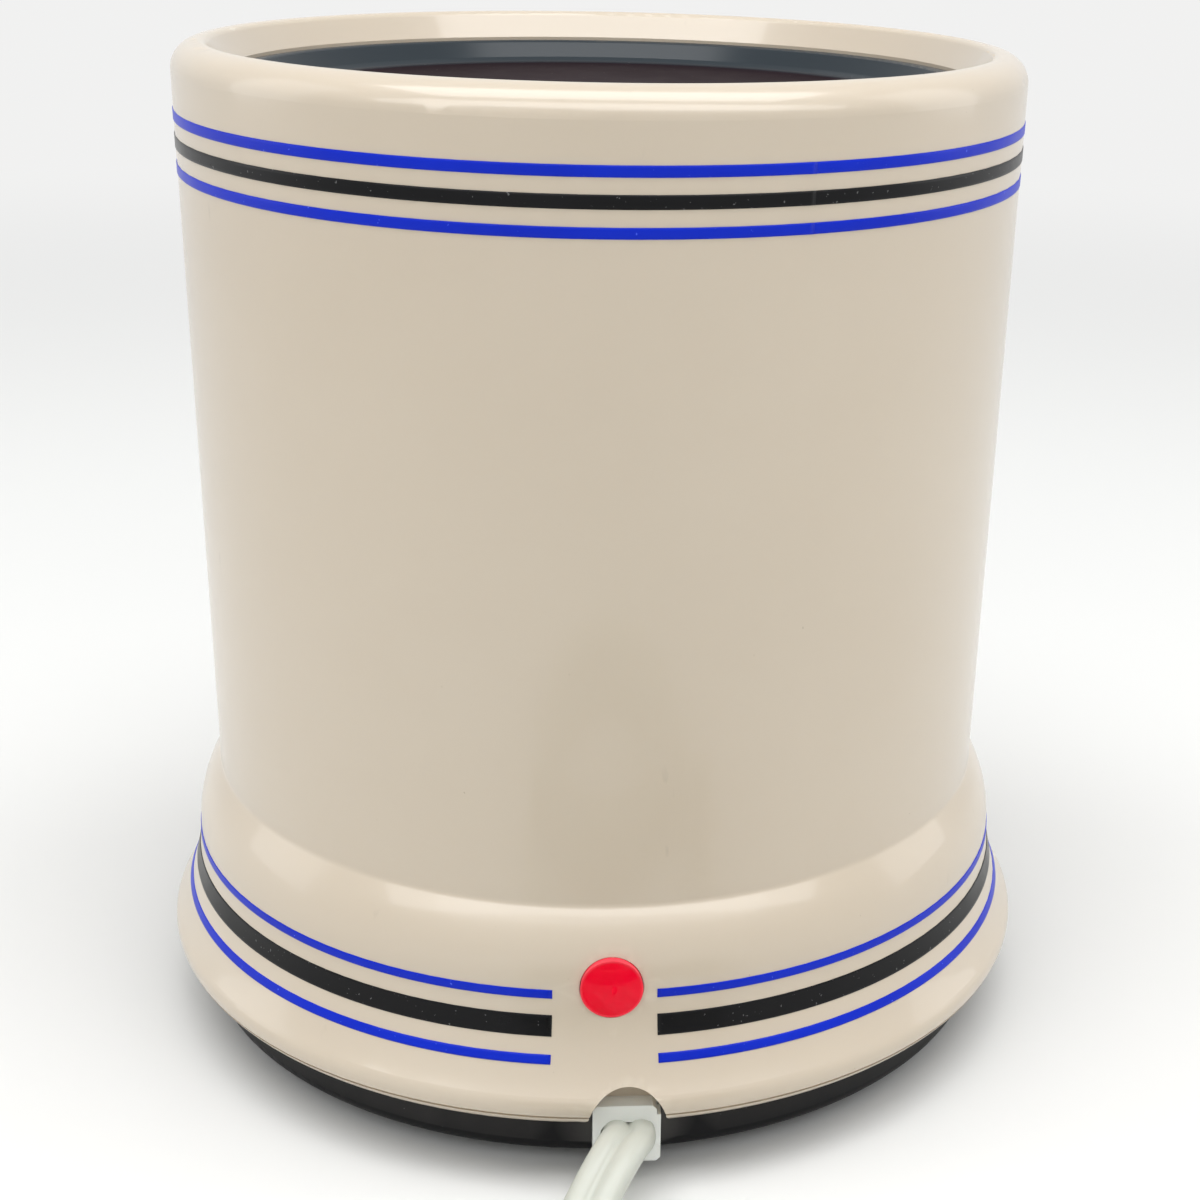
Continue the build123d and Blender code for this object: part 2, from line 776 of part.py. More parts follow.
# Pilot lamp: lens with a hollow stem, spring nut, neon lamp and its series resistor
lens_face = lens_seat + lens_disc
with BuildPart() as lens:
    with BuildSketch(Plane.XZ.offset(lens_seat)):
        with Locations((0, lamp_height)):
            Circle(lens_radius)
    extrude(amount=lens_disc)
    with BuildSketch(Plane.YZ):
        with BuildLine():
            crown = TangentArc(
                (-lens_face - lens_dome, lamp_height),
                (-lens_face, lamp_height + lens_radius - lens_dome),
                tangent=(0, 1),
            )
            Polyline(crown @ 1, (-lens_face, lamp_height), crown @ 0)
        make_face()
    revolve(axis=Axis((0, 0, lamp_height), (0, 1, 0)))
    with BuildSketch(Plane.XZ.offset(lens_seat - stem_length)):
        with Locations((0, lamp_height)):
            Circle(stem_radius)
            Circle(stem_bore, mode=Mode.SUBTRACT)
    extrude(amount=stem_length)
lens.part.label = "indicator_lens"
export_step(lens.part, "parts/indicator_lens.step")

with BuildPart() as clip_nut:
    with BuildSketch(Plane.XZ.offset(clip_nut_place - clip_nut_thickness)):
        with Locations((0, lamp_height)):
            Circle(clip_nut_radius)
            Circle(stem_radius, mode=Mode.SUBTRACT)
            with PolarLocations(stem_radius, clip_nut_prongs):
                Rectangle(2 * clip_nut_prong_length, clip_nut_prong_width, mode=Mode.SUBTRACT)
    extrude(amount=clip_nut_thickness)
clip_nut.part.label = "lens_spring_nut"
export_step(clip_nut.part, "parts/lens_spring_nut.step")

neon_back = lens_seat - neon_length
with BuildPart() as neon:
    with BuildSketch(Plane.XZ.offset(neon_back)):
        with Locations((0, lamp_height)):
            Circle(neon_radius)
    extrude(amount=neon_length)
neon.part.label = "neon_lamp"
export_step(neon.part, "parts/neon_lamp.step")

resistor_foot = pan_floor + resistor_rise
resistor_head = resistor_foot + resistor_length
crimp_height = pan_floor + crimp_radius
upper_wires = crimp_height + crimp_spread * math.sin(math.radians(30))
wire_spread = crimp_spread * math.cos(math.radians(30))
lead_x = crimp_place + wire_spread
neon_x = crimp_place - wire_spread
wire_end = -(crimp_mouth - crimp_length + crimp_floor)
bend_share = 0.45
with BuildPart() as resistor:
    with BuildSketch(Plane.XZ):
        with BuildLine():
            Polyline(
                (0, resistor_foot),
                (resistor_radius, resistor_foot),
                (resistor_radius, resistor_foot + resistor_cap),
                (resistor_radius - resistor_waist, resistor_foot + resistor_cap + resistor_waist),
                (resistor_radius - resistor_waist, resistor_head - resistor_cap - resistor_waist),
                (resistor_radius, resistor_head - resistor_cap),
                (resistor_radius, resistor_head),
                (0, resistor_head),
                close=True,
            )
        make_face()
    revolve(axis=Axis.Z)
neon_resistor = resistor.part.moved(Location((-neon_x, -neon_drop_place, 0)))
neon_resistor.label = "neon_resistor"
export_step(neon_resistor, "parts/neon_resistor.step")


def bends(points):
    """Largest tangent arc radius at every inner point of a route."""
    radii = []
    for before, here, after in zip(points, points[1:], points[2:]):
        first = Vector(*here) - Vector(*before)
        second = Vector(*after) - Vector(*here)
        turn = math.radians(first.get_angle(second))
        radii.append(bend_share * min(first.length, second.length) / math.tan(turn / 2))
    return radii


def round_wire(points, radius):
    """Insulated round wire along straight runs joined by tangent arcs."""
    with BuildPart() as lead:
        with BuildLine() as path:
            FilletPolyline(*points, radius=bends(points))
        with BuildSketch(Plane(path.line @ 0, z_dir=path.line % 0)):
            Circle(radius)
        sweep()
    return lead.part


# Leads of the heating side
tab_end = press_bottom - tab_tail
fuse_end = fuse_length / 2 + fuse_tip
grommet_above = press_bottom - lead_entry_drop
live_points = [
    (fuse_place, fuse_end, fuse_height),
    (fuse_place, fuse_end + lead_run, fuse_height),
    (0, fuse_end + lead_run, fuse_height - lead_dip),
    (0, lead_spacing, grommet_above),
    (0, lead_spacing, live_bend),
    (lead_x, -lead_drop_place, lead_drop_height),
    (lead_x, -lead_drop_place, upper_wires),
    (lead_x, wire_end, upper_wires),
]
lead_live = round_wire(live_points, lead_radius)
lead_live.label = "lead_live"
export_step(lead_live, "parts/lead_live.step")
neutral_points = [
    (tab_places[1][0], tab_places[1][1], tab_end),
    (tab_places[1][0], tab_places[1][1], tab_end - tab_run),
    (0, -lead_spacing, grommet_above - neutral_dip),
    (0, -lead_spacing, neutral_bend),
    (-lead_x, -lead_drop_place, lead_drop_height),
    (-lead_x, -lead_drop_place, upper_wires),
    (-lead_x, wire_end, upper_wires),
]
lead_neutral = round_wire(neutral_points, lead_radius)
lead_neutral.label = "lead_neutral"
export_step(lead_neutral, "parts/lead_neutral.step")
link_points = [
    (fuse_place, -fuse_end, fuse_height),
    (fuse_place, -fuse_end - lead_run, fuse_height),
    (tab_places[0][0], tab_places[0][1], tab_end - link_run),
    (tab_places[0][0], tab_places[0][1], tab_end),
]
lead_link = round_wire(link_points, lead_radius)
lead_link.label = "lead_link"
export_step(lead_link, "parts/lead_link.step")

# Leads of the pilot lamp: one straight to its cap, one broken by the resistor
neon_turn = [(neon_lead_spacing, -neon_back, lamp_height), (neon_lead_spacing, -neon_drop_place, lamp_height)]
neon_live = neon_turn + [
    (neon_x, -neon_drop_place, neon_knee),
    (neon_x, -neon_drop_place, upper_wires),
    (neon_x, wire_end, upper_wires),
]
neon_upper = [(-x, y, z) for x, y, z in neon_turn] + [
    (-neon_x, -neon_drop_place, resistor_head + resistor_lead),
    (-neon_x, -neon_drop_place, resistor_head),
]
neon_lower = [
    (-neon_x, -neon_drop_place, resistor_foot),
    (-neon_x, -neon_drop_place, upper_wires),
    (-neon_x, wire_end, upper_wires),
]
neon_wires = [round_wire(points, neon_lead_radius) for points in (neon_live, neon_upper, neon_lower)]
neon_leads = Compound(children=neon_wires)
neon_leads.label = "neon_leads"
export_step(neon_leads, "parts/neon_leads.step")

# Two closed crimp caps side by side on the pan
with BuildPart() as caps:
    with BuildSketch(Plane.XZ.offset(crimp_mouth - crimp_length)):
        with Locations((crimp_place, crimp_height), (-crimp_place, crimp_height)):
            Circle(crimp_radius)
    extrude(amount=crimp_length)
    with BuildSketch(Plane.XZ.offset(-wire_end)):
        with Locations((crimp_place, crimp_height), (-crimp_place, crimp_height)):
            Circle(crimp_bore)
    extrude(amount=crimp_length, mode=Mode.SUBTRACT)
caps.part.label = "crimp_caps"
export_step(caps.part, "parts/crimp_caps.step")

# Strain relief in two halves, clamped round the flat cord in the slot behind the notch
relief_front = cord_wall_outer + relief_head_depth


def relief_half(side):
    """Upper half for side 1, lower half for side -1."""
    half_align = (Align.CENTER, Align.MIN if side > 0 else Align.MAX)
    with BuildPart() as half:
        with BuildSketch(Plane.XZ.offset(cord_wall_outer)):
            with Locations((notch_place, relief_height)):
                Rectangle(relief_head, relief_head_height / 2, align=half_align)
            if side > 0:
                top = relief_height + relief_head_height / 2
                with Locations((notch_place + relief_head / 2, top)):
                    Rectangle(relief_step, relief_step_drop, align=(Align.MAX, Align.MAX), mode=Mode.SUBTRACT)
                corners = vertices().group_by(Axis.Y)[-1]
            else:
                corners = vertices().group_by(Axis.Y)[0]
            chamfer(corners, relief_corner)
        extrude(amount=relief_head_depth)
        with BuildSketch(Plane.XZ.offset(cord_wall_inner)):
            with Locations((notch_place, relief_height)):
                Rectangle(relief_neck_width, relief_neck_height / 2, align=half_align)
        extrude(amount=cord_wall_outer - cord_wall_inner)
        with BuildSketch(Plane.XZ.offset(relief_back)):
            with Locations((notch_place, relief_height)):
                Rectangle(relief_tail_width, relief_tail_height / 2, align=half_align)
        extrude(amount=relief_tail_depth)
        with BuildSketch(Plane.XZ.offset(relief_back - cut)):
            with Locations((notch_place, relief_height)):
                SlotOverall(cord_width + 2 * relief_hole_fit, cord_thickness + 2 * relief_hole_fit)
        extrude(amount=relief_front - relief_back + 2 * cut, mode=Mode.SUBTRACT)
    return half.part


strain_relief_upper = relief_half(1)
strain_relief_upper.label = "strain_relief_upper"
export_step(strain_relief_upper, "parts/strain_relief_upper.step")
strain_relief_lower = relief_half(-1)
strain_relief_lower.label = "strain_relief_lower"
export_step(strain_relief_lower, "parts/strain_relief_lower.step")

# Cores of the cord inside the foot
core_run = cord_width / 4
cord_start = -(relief_back - cord_tail_length)
cores = []
for side in (1, -1):
    core_x = notch_place + side * core_run
    cores.append(round_wire([
        (core_x, cord_start, relief_height),
        (core_x, cord_start + core_straight, relief_height),
        (side * crimp_place, -core_level_place, crimp_height - crimp_spread),
        (side * crimp_place, wire_end, crimp_height - crimp_spread),
    ], core_radius))
cord_cores = Compound(children=cores)
cord_cores.label = "cord_cores"
export_step(cord_cores, "parts/cord_cores.step")

# Flat cord: out of the relief, a swing to the left, down to the table and over to the coil
coil_level = table_gap + coil_lift + cord_width / 2
table_level = table_gap + cord_thickness / 2
swing = math.radians(cord_swing)
coil_entry = coil_place + coil_lead_in


def along(start, run, drop):
    """Next route point: a run along the swung heading and a drop."""
    return (start[0] - run * math.sin(swing), start[1] - run * math.cos(swing), start[2] - drop)


mouth = (notch_place, -relief_front - mouth_run, relief_height)
lip_point = along(mouth, swing_run, 0)
landing = along(lip_point, drop_run, relief_height - table_level)
route = [
    (notch_place, cord_start, relief_height),
    mouth,
    lip_point,
    landing,
    (-6.2, -98.7, table_level),
    (-14.4, -110.0, table_level),
    (-26.2, -119.2, table_level),
    (-37.0, -129.6, table_level),
    (-44.4, -142.6, table_level),
    (-coil_radius, -156.8, coil_level),
    (-coil_radius, coil_entry, coil_level),
]
print("cord route", [tuple(round(value, 2) for value in point) for point in route])
print("cord bend radii", [round(radius, 2) for radius in bends(route)])
with BuildPart() as cord_free:
    with BuildLine() as path:
        FilletPolyline(*route, radius=bends(route))
    with BuildSketch(Plane(path.line @ 0, z_dir=path.line % 0, x_dir=(1, 0, 0))):
        SlotOverall(cord_width, cord_thickness)
    sweep()
cord_free.part.label = "cord_free"
export_step(cord_free.part, "parts/cord_free.step")

# Coil: inward spiral of half turns, a climb of one layer, then an outward spiral on top
half_pitch = coil_pitch / 2
inner_end = coil_radius - coil_turns * coil_pitch
climb_end = inner_end - half_pitch
top_level = coil_level + coil_layer
lower_radii = [coil_radius - step * half_pitch for step in range(2 * coil_turns + 1)]
upper_radii = [climb_end] + [inner_end + (step + 2) * half_pitch for step in range(2 * coil_turns)]


def half_turns(radii, side, level):
    """Half circles through the given distances from the coil's centre, on alternate sides."""
    for near, far in zip(radii, radii[1:]):
        middle = side * (near - far) / 2
        ThreePointArc(
            (side * near, coil_place, level),
            (middle, coil_place + side * (near + far) / 2, level),
            (-side * far, coil_place, level),
        )
        side = -side


climb_radius = (inner_end + climb_end) / 2


def climb_spot(share):
    """Centre of the cord at a share of the half turn that climbs from the lower layer to the upper."""
    turn = math.pi * (1 + share)
    return (
        climb_radius * math.cos(turn) - half_pitch / 2,
        coil_place + climb_radius * math.sin(turn),
        coil_level + coil_layer * (3 * share**2 - 2 * share**3),
    )


with BuildPart() as cord_coil:
    with BuildLine() as lower_path:
        Line((-coil_radius, coil_entry, coil_level), (-coil_radius, coil_place, coil_level))
        half_turns(lower_radii, -1, coil_level)
    with BuildSketch(Plane(lower_path.line @ 0, z_dir=(0, -1, 0), x_dir=(0, 0, 1))):
        SlotOverall(cord_width, cord_thickness)
    sweep()
    for step in range(climb_sections):
        turn = math.pi * (1 + step / (climb_sections - 1))
        spot = climb_spot(step / (climb_sections - 1))
        with BuildSketch(Plane(spot, z_dir=(-math.sin(turn), math.cos(turn), 0), x_dir=(0, 0, 1))):
            SlotOverall(cord_width, cord_thickness)
    loft()
    with BuildLine() as upper_path:
        half_turns(upper_radii, 1, top_level)
        Line(
            (upper_radii[-1], coil_place, top_level),
            (upper_radii[-1], coil_place + coil_lead_out, top_level),
        )
    with BuildSketch(Plane(upper_path.line @ 0, z_dir=(0, 1, 0), x_dir=(0, 0, 1))):
        SlotOverall(cord_width, cord_thickness)
    sweep()
cord_coil.part.label = "cord_coil"
export_step(cord_coil.part, "parts/cord_coil.step")


def least_gap(wires):
    """Least distance between two upright flat turns, measured on points of their centre line."""
    points = []
    for one in wires:
        count = max(2, round(one.length / cord_thickness))
        points += [one @ (place / count) for place in range(count)]
    straight = cord_width - cord_thickness
    apart = round(coil_pitch * 4 / cord_thickness)
    least = coil_radius
    for place, here in enumerate(points):
        for there in points[place + apart:]:
            across = math.hypot(here.X - there.X, here.Y - there.Y)
            upward = max(0, abs(here.Z - there.Z) - straight)
            least = min(least, math.hypot(across, upward) - cord_thickness)
    return least


climb_spots = [climb_spot(place / (2 * climb_sections)) for place in range(2 * climb_sections + 1)]
climb_wire = Wire.make_polygon([Vector(*spot) for spot in climb_spots], close=False)
print("coil's least gap to itself", round(least_gap([lower_path.wire(), climb_wire, upper_path.wire()]), 3))
coil_length = coil_lead_in + coil_lead_out + math.pi * climb_radius
coil_length += sum(math.pi * (near + far) / 2 for near, far in zip(lower_radii, lower_radii[1:]))
coil_length += sum(math.pi * (near + far) / 2 for near, far in zip(upper_radii, upper_radii[1:]))
print("coil length", round(coil_length, 1))

# Tie round the bundle
tie_inner = upper_radii[0] - cord_thickness / 2 - tie_slack
tie_outer = upper_radii[-2] + cord_thickness / 2 + tie_slack
tie_low = table_gap
tie_high = top_level + cord_width / 2 + tie_thickness
with BuildPart() as tie:
    with BuildSketch(Plane.XZ.offset(-tie_width / 2)):
        with Locations(((tie_inner + tie_outer) / 2, (tie_low + tie_high) / 2)):
            RectangleRounded(
                tie_outer - tie_inner + 2 * tie_thickness, tie_high - tie_low, tie_corner + tie_thickness
            )
            RectangleRounded(
                tie_outer - tie_inner, tie_high - tie_low - 2 * tie_thickness, tie_corner, mode=Mode.SUBTRACT
            )
    extrude(amount=tie_width)
tie_turn = Location((0, coil_place, 0)) * Rotation(0, 0, tie_angle)
coil_tie = tie.part.moved(tie_turn)
coil_tie.label = "coil_tie"
export_step(coil_tie, "parts/coil_tie.step")

# Plug at the end of the coil, standing on its edge, with two flat blades
plug_x = upper_radii[-1]
plug_start = coil_place + coil_lead_out
body_start = plug_start + plug_neck
with BuildPart() as plug:
    with BuildSketch(Plane((plug_x, body_start, top_level), z_dir=(0, 1, 0), x_dir=(0, 0, 1))):
        RectangleRounded(plug_width, plug_thickness, plug_corner)
    extrude(amount=plug_length)
    with BuildSketch(Plane((plug_x, plug_start, top_level), z_dir=(0, 1, 0), x_dir=(0, 0, 1))):
        RectangleRounded(plug_neck_width, plug_neck_thickness, plug_neck_corner)
    extrude(amount=plug_neck)
    for rib in range(plug_ribs):
        rib_place = plug_start + plug_rib_first + rib * plug_rib_pitch
        with BuildSketch(Plane((plug_x, rib_place, top_level), z_dir=(0, 1, 0), x_dir=(0, 0, 1))):
            Rectangle(plug_neck_width + cut, plug_neck_thickness + cut)
            RectangleRounded(
                plug_neck_width - 2 * plug_rib_depth,
                plug_neck_thickness - 2 * plug_rib_depth,
                plug_neck_corner - plug_rib_depth,
                mode=Mode.SUBTRACT,
            )
        extrude(amount=plug_rib_width, mode=Mode.SUBTRACT)
plug.part.label = "plug_body"
export_step(plug.part, "parts/plug_body.step")

with BuildPart() as blades:
    for side in (-1, 1):
        blade_height = top_level + side * blade_spacing / 2 - blade_thickness / 2
        with BuildSketch(Plane.XY.offset(blade_height)):
            with Locations((plug_x, body_start + plug_length)):
                Rectangle(blade_width, blade_length, align=(Align.CENTER, Align.MIN))
            chamfer(vertices().group_by(Axis.Y)[-1], blade_chamfer)
            with Locations((plug_x, body_start + plug_length + blade_length - blade_hole_place)):
                Circle(blade_hole, mode=Mode.SUBTRACT)
        extrude(amount=blade_thickness)
blades.part.label = "plug_blades"
export_step(blades.part, "parts/plug_blades.step")
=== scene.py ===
import json
import math

import bmesh
import bpy
from mathutils import Matrix, Vector


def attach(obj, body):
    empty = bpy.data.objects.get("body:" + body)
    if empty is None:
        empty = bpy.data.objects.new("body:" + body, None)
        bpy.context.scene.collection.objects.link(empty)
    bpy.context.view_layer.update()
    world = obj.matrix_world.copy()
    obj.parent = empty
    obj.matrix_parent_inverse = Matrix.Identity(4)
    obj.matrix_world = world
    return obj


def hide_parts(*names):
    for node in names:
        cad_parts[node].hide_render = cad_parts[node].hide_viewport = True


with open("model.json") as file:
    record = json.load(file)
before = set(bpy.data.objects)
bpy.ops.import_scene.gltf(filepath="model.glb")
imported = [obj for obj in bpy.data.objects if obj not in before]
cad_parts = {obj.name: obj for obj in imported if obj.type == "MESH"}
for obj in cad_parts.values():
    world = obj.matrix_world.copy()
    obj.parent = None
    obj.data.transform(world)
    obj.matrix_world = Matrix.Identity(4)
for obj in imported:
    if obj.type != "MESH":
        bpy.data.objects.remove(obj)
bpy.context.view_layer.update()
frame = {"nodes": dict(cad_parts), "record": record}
nodes = frame["nodes"]
mm = 0.001


def add_object(name, data):
    """New object in the scene with the given data."""
    made = bpy.data.objects.new(name, data)
    bpy.context.scene.collection.objects.link(made)
    return made


def skin(built, rings):
    """Quads between neighbouring rings of vertices, and a face over each end."""
    for first, second in zip(rings, rings[1:]):
        for step in range(len(first)):
            following = (step + 1) % len(first)
            built.faces.new((first[step], first[following], second[following], second[step]))
    built.faces.new(list(reversed(rings[0])))
    built.faces.new(rings[-1])


def mesh_of(name, built):
    """Mesh of a bmesh, with its faces turned outward."""
    bmesh.ops.recalc_face_normals(built, faces=built.faces)
    data = bpy.data.meshes.new(name)
    built.to_mesh(data)
    built.free()
    return data


def smooth(share):
    """Smooth step from 0 to 1."""
    share = min(max(share, 0.0), 1.0)
    return share * share * (3 - 2 * share)


# Camera: places in mm, the focal length and the centre in pixels of the photograph's frame
frame_pixels = 1200
sensor = 36.0
cam_distance = 322.0
cam_height = 183.7
cam_swing = math.radians(1.906)
cam_yaw = math.radians(2.936)
cam_pitch = math.radians(17.483)
cam_roll = math.radians(1.357)
cam_focal = 2042.4
cam_centre = (700.0, 500.0)

forward = Vector((
    math.sin(cam_yaw) * math.cos(cam_pitch), math.cos(cam_yaw) * math.cos(cam_pitch), -math.sin(cam_pitch),
))
level_right = Vector((math.cos(cam_yaw), -math.sin(cam_yaw), 0))
level_up = level_right.cross(forward)
right = math.cos(cam_roll) * level_right + math.sin(cam_roll) * level_up
up = math.cos(cam_roll) * level_up - math.sin(cam_roll) * level_right
cam_data = bpy.data.cameras.new("camera")
cam_data.sensor_width = sensor
cam_data.lens = cam_focal * sensor / frame_pixels
cam_data.clip_start = 0.01
cam_data.clip_end = 20
cam_data.shift_x = (frame_pixels / 2 - cam_centre[0]) / frame_pixels
cam_data.shift_y = (cam_centre[1] - frame_pixels / 2) / frame_pixels
camera = add_object("camera", cam_data)
camera.matrix_world = Matrix.Rotation(-cam_swing, 4, "Z") @ Matrix((
    (right.x, up.x, -forward.x, 0),
    (right.y, up.y, -forward.y, -cam_distance * mm),
    (right.z, up.z, -forward.z, cam_height * mm),
    (0, 0, 0, 1),
))
bpy.context.scene.camera = camera

# What all finishes share: sizes in metres, and the levels of a noise between which a mark fades in
noise_rough = 0.55
speck_fade = 0.03
hair_size = 0.0022
hair_stretch = (1.0, 1.0, 0.3)
hair_levels = (0.69, 0.76)
hair_strength = 0.3
patch_size = 0.035
patch_levels = (0.6, 0.68)
worn_levels = (0.53, 0.62)
worn_strength = 0.8
smear_share = 0.6
plain_ior = 1.5
scatter_radius = (1.0, 0.8, 0.6)
scatter_scale = 0.001

# Sockets of a mix node for each kind of value: first input, second input and output
mix_sockets = {"FLOAT": (2, 3, 0), "RGBA": (6, 7, 2)}


def srgb(red, green, blue):
    """Linear colour of an 8-bit sRGB one."""
    linear = []
    for value in (red, green, blue):
        share = value / 255
        linear.append(share / 12.92 if share <= 0.04045 else ((share + 0.055) / 1.055) ** 2.4)
    return (*linear, 1)


def material(name):
    """New material, its node tree and its principled shader."""
    made = bpy.data.materials.new(name)
    made.use_nodes = True
    return made, made.node_tree, made.node_tree.nodes["Principled BSDF"]


def set_sockets(node, values):
    """Put constants on a node's inputs."""
    for name, value in values.items():
        node.inputs[name].default_value = value


def object_place(tree):
    """Place of the shaded point in its object's space, in metres."""
    return tree.nodes.new("ShaderNodeTexCoord").outputs["Object"]


def noise(tree, place, size, detail, stretch=(1, 1, 1)):
    """Noise with features of about the given size in metres."""
    mapping = tree.nodes.new("ShaderNodeMapping")
    mapping.inputs["Scale"].default_value = stretch
    tree.links.new(place, mapping.inputs["Vector"])
    texture = tree.nodes.new("ShaderNodeTexNoise")
    set_sockets(texture, {"Scale": 1 / size, "Detail": detail, "Roughness": noise_rough})
    tree.links.new(mapping.outputs["Vector"], texture.inputs["Vector"])
    return texture.outputs["Fac"]


def spread(tree, source, low, high, from_low=0.3, from_high=0.7, ease=False):
    """Map a factor to a range, evenly or with eased ends."""
    node = tree.nodes.new("ShaderNodeMapRange")
    node.interpolation_type = "SMOOTHSTEP" if ease else "LINEAR"
    set_sockets(node, {"From Min": from_low, "From Max": from_high, "To Min": low, "To Max": high})
    tree.links.new(source, node.inputs["Value"])
    return node.outputs["Result"]


def blend(tree, factor, first, second, kind="RGBA"):
    """Mix of two colours or two floats, each a value or a socket."""
    node = tree.nodes.new("ShaderNodeMix")
    node.data_type = kind
    first_input, second_input, result = mix_sockets[kind]
    tree.links.new(factor, node.inputs["Factor"])
    for place, term in ((first_input, first), (second_input, second)):
        if isinstance(term, bpy.types.NodeSocket):
            tree.links.new(term, node.inputs[place])
        else:
            node.inputs[place].default_value = term
    return node.outputs[result]


def combine(tree, operation, first, second):
    """Result of a math operation on two sockets."""
    node = tree.nodes.new("ShaderNodeMath")
    node.operation = operation
    tree.links.new(first, node.inputs[0])
    tree.links.new(second, node.inputs[1])
    return node.outputs["Value"]


def reach_from(tree, place, middle=(0, 0, 0), kept=(1, 1, 0)):
    """Distance from a point to a place, of which the axes that aren't kept are set to zero."""
    flat = tree.nodes.new("ShaderNodeVectorMath")
    flat.operation = "MULTIPLY"
    flat.inputs[1].default_value = kept
    tree.links.new(place, flat.inputs[0])
    reach = tree.nodes.new("ShaderNodeVectorMath")
    reach.operation = "DISTANCE"
    reach.inputs[1].default_value = middle
    tree.links.new(flat.outputs["Vector"], reach.inputs[0])
    return reach.outputs["Value"]


def backdrop_rays(tree):
    """One for camera, glossy and transmission rays, which see the backdrop, and zero for the rest."""
    path_rays = tree.nodes.new("ShaderNodeLightPath").outputs
    found = path_rays["Is Camera Ray"]
    for kind in ("Is Glossy Ray", "Is Transmission Ray"):
        found = combine(tree, "MAXIMUM", found, path_rays[kind])
    return found


def roughen(tree, shader, height, strength, depth):
    """Fine relief on the shader, from a height socket and a depth in metres."""
    relief = tree.nodes.new("ShaderNodeBump")
    set_sockets(relief, {"Strength": strength, "Distance": depth})
    tree.links.new(height, relief.inputs["Height"])
    tree.links.new(relief.outputs["Normal"], shader.inputs["Normal"])


def speckled(tree, place, tint, specks, size, level):
    """Tint with specks where a fine noise is over a level."""
    dots = noise(tree, place, size, detail=2)
    return blend(tree, spread(tree, dots, 0, 1, level, level + speck_fade), tint, specks)


def scuffed(tree, place, tint, scuffs):
    """Tint with faint hair scratches in patches."""
    hair = noise(tree, place, hair_size, detail=2, stretch=hair_stretch)
    hair = spread(tree, hair, 0, hair_strength, *hair_levels)
    patch = noise(tree, place, patch_size, detail=1)
    patch = spread(tree, patch, 0, 1, *patch_levels)
    return blend(tree, combine(tree, "MULTIPLY", hair, patch), tint, scuffs)


def worn(tree, tint, edge):
    """Tint that turns to the edge's colour on outward corners."""
    pointed = tree.nodes.new("ShaderNodeNewGeometry").outputs["Pointiness"]
    return blend(tree, spread(tree, pointed, 0, worn_strength, *worn_levels), tint, edge)


def finish_of(
    name, colour, dark, rough, metal=0.0, coat=0.0, coat_rough=0.08, size=0.02, grain=0.0006, bump=0.1,
    bump_depth=0.00005, stretch=(1, 1, 1), rough_spread=0.08, specks=None, speck_size=0.0008,
    speck_level=0.72, edge=None, transmission=0.0, sheen=0.0, scatter=0.0, specular=0.5, scuffs=None,
):
    """Finish with drifting colour and roughness, fine relief and, if asked, specks, scuffs and worn edges."""
    made, tree, shader = material(name)
    place = object_place(tree)
    drift = noise(tree, place, size, detail=5)
    tint = blend(tree, spread(tree, drift, 0, 1), colour, dark)
    if specks:
        tint = speckled(tree, place, tint, specks, speck_size, speck_level)
    if scuffs:
        tint = scuffed(tree, place, tint, scuffs)
    if edge:
        tint = worn(tree, tint, edge)
    tree.links.new(tint, shader.inputs["Base Color"])
    smear = noise(tree, place, size * smear_share, detail=6, stretch=stretch)
    smear = spread(tree, smear, rough - rough_spread / 2, rough + rough_spread / 2)
    tree.links.new(smear, shader.inputs["Roughness"])
    roughen(tree, shader, noise(tree, place, grain, detail=3, stretch=stretch), bump, bump_depth)
    set_sockets(shader, {
        "Metallic": metal,
        "Coat Weight": coat,
        "Coat Roughness": coat_rough,
        "IOR": plain_ior,
        "Transmission Weight": transmission,
        "Sheen Weight": sheen,
        "Specular IOR Level": specular,
    })
    if scatter:
        set_sockets(shader, {
            "Subsurface Weight": scatter,
            "Subsurface Radius": scatter_radius,
            "Subsurface Scale": scatter_scale,
        })
    return made


# Cord in mm: control points of one smooth spline, close to the source's route and then round its coil
route = [
    (2.3, -66.8, 7.95),
    (3.1, -70.6, 8.7),
    (1.2, -75.8, 11.0),
    (-4.6, -85.0, 5.6),
    (-7.6, -94.0, 2.1),
    (-11.0, -103.0, 2.0),
    (-18.0, -111.8, 2.0),
    (-27.5, -120.5, 2.0),
    (-37.0, -129.6, 2.6),
    (-44.4, -142.6, 3.7),
    (-46.9, -156.8, 4.4),
]
coil_y = -179.0
low_level = 4.4
high_level = 12.4
turn_points = 16
half_points = turn_points // 2
half_pitch = 2.15
outer_radius = 46.9
lower_halves = 6
coil_halves = 2 * lower_halves + 1
climb_radius = outer_radius - half_pitch * lower_halves
climb_end = climb_radius - half_pitch
first_outward = 38.3
plug_radius = 49.05
plug_start = -165.0
plug_bite = 1.5


def coil_spot(halves):
    """Distance from the coil's centre and level after a number of half turns."""
    if halves <= lower_halves:
        return outer_radius - half_pitch * halves, low_level
    if halves <= lower_halves + 1:
        share = halves - lower_halves
        return climb_radius - half_pitch * share, low_level + (high_level - low_level) * smooth(share)
    if halves <= lower_halves + 2:
        share = halves - lower_halves - 1
        return climb_end + (first_outward - climb_end) * share, high_level
    return first_outward + half_pitch * (halves - lower_halves - 2), high_level


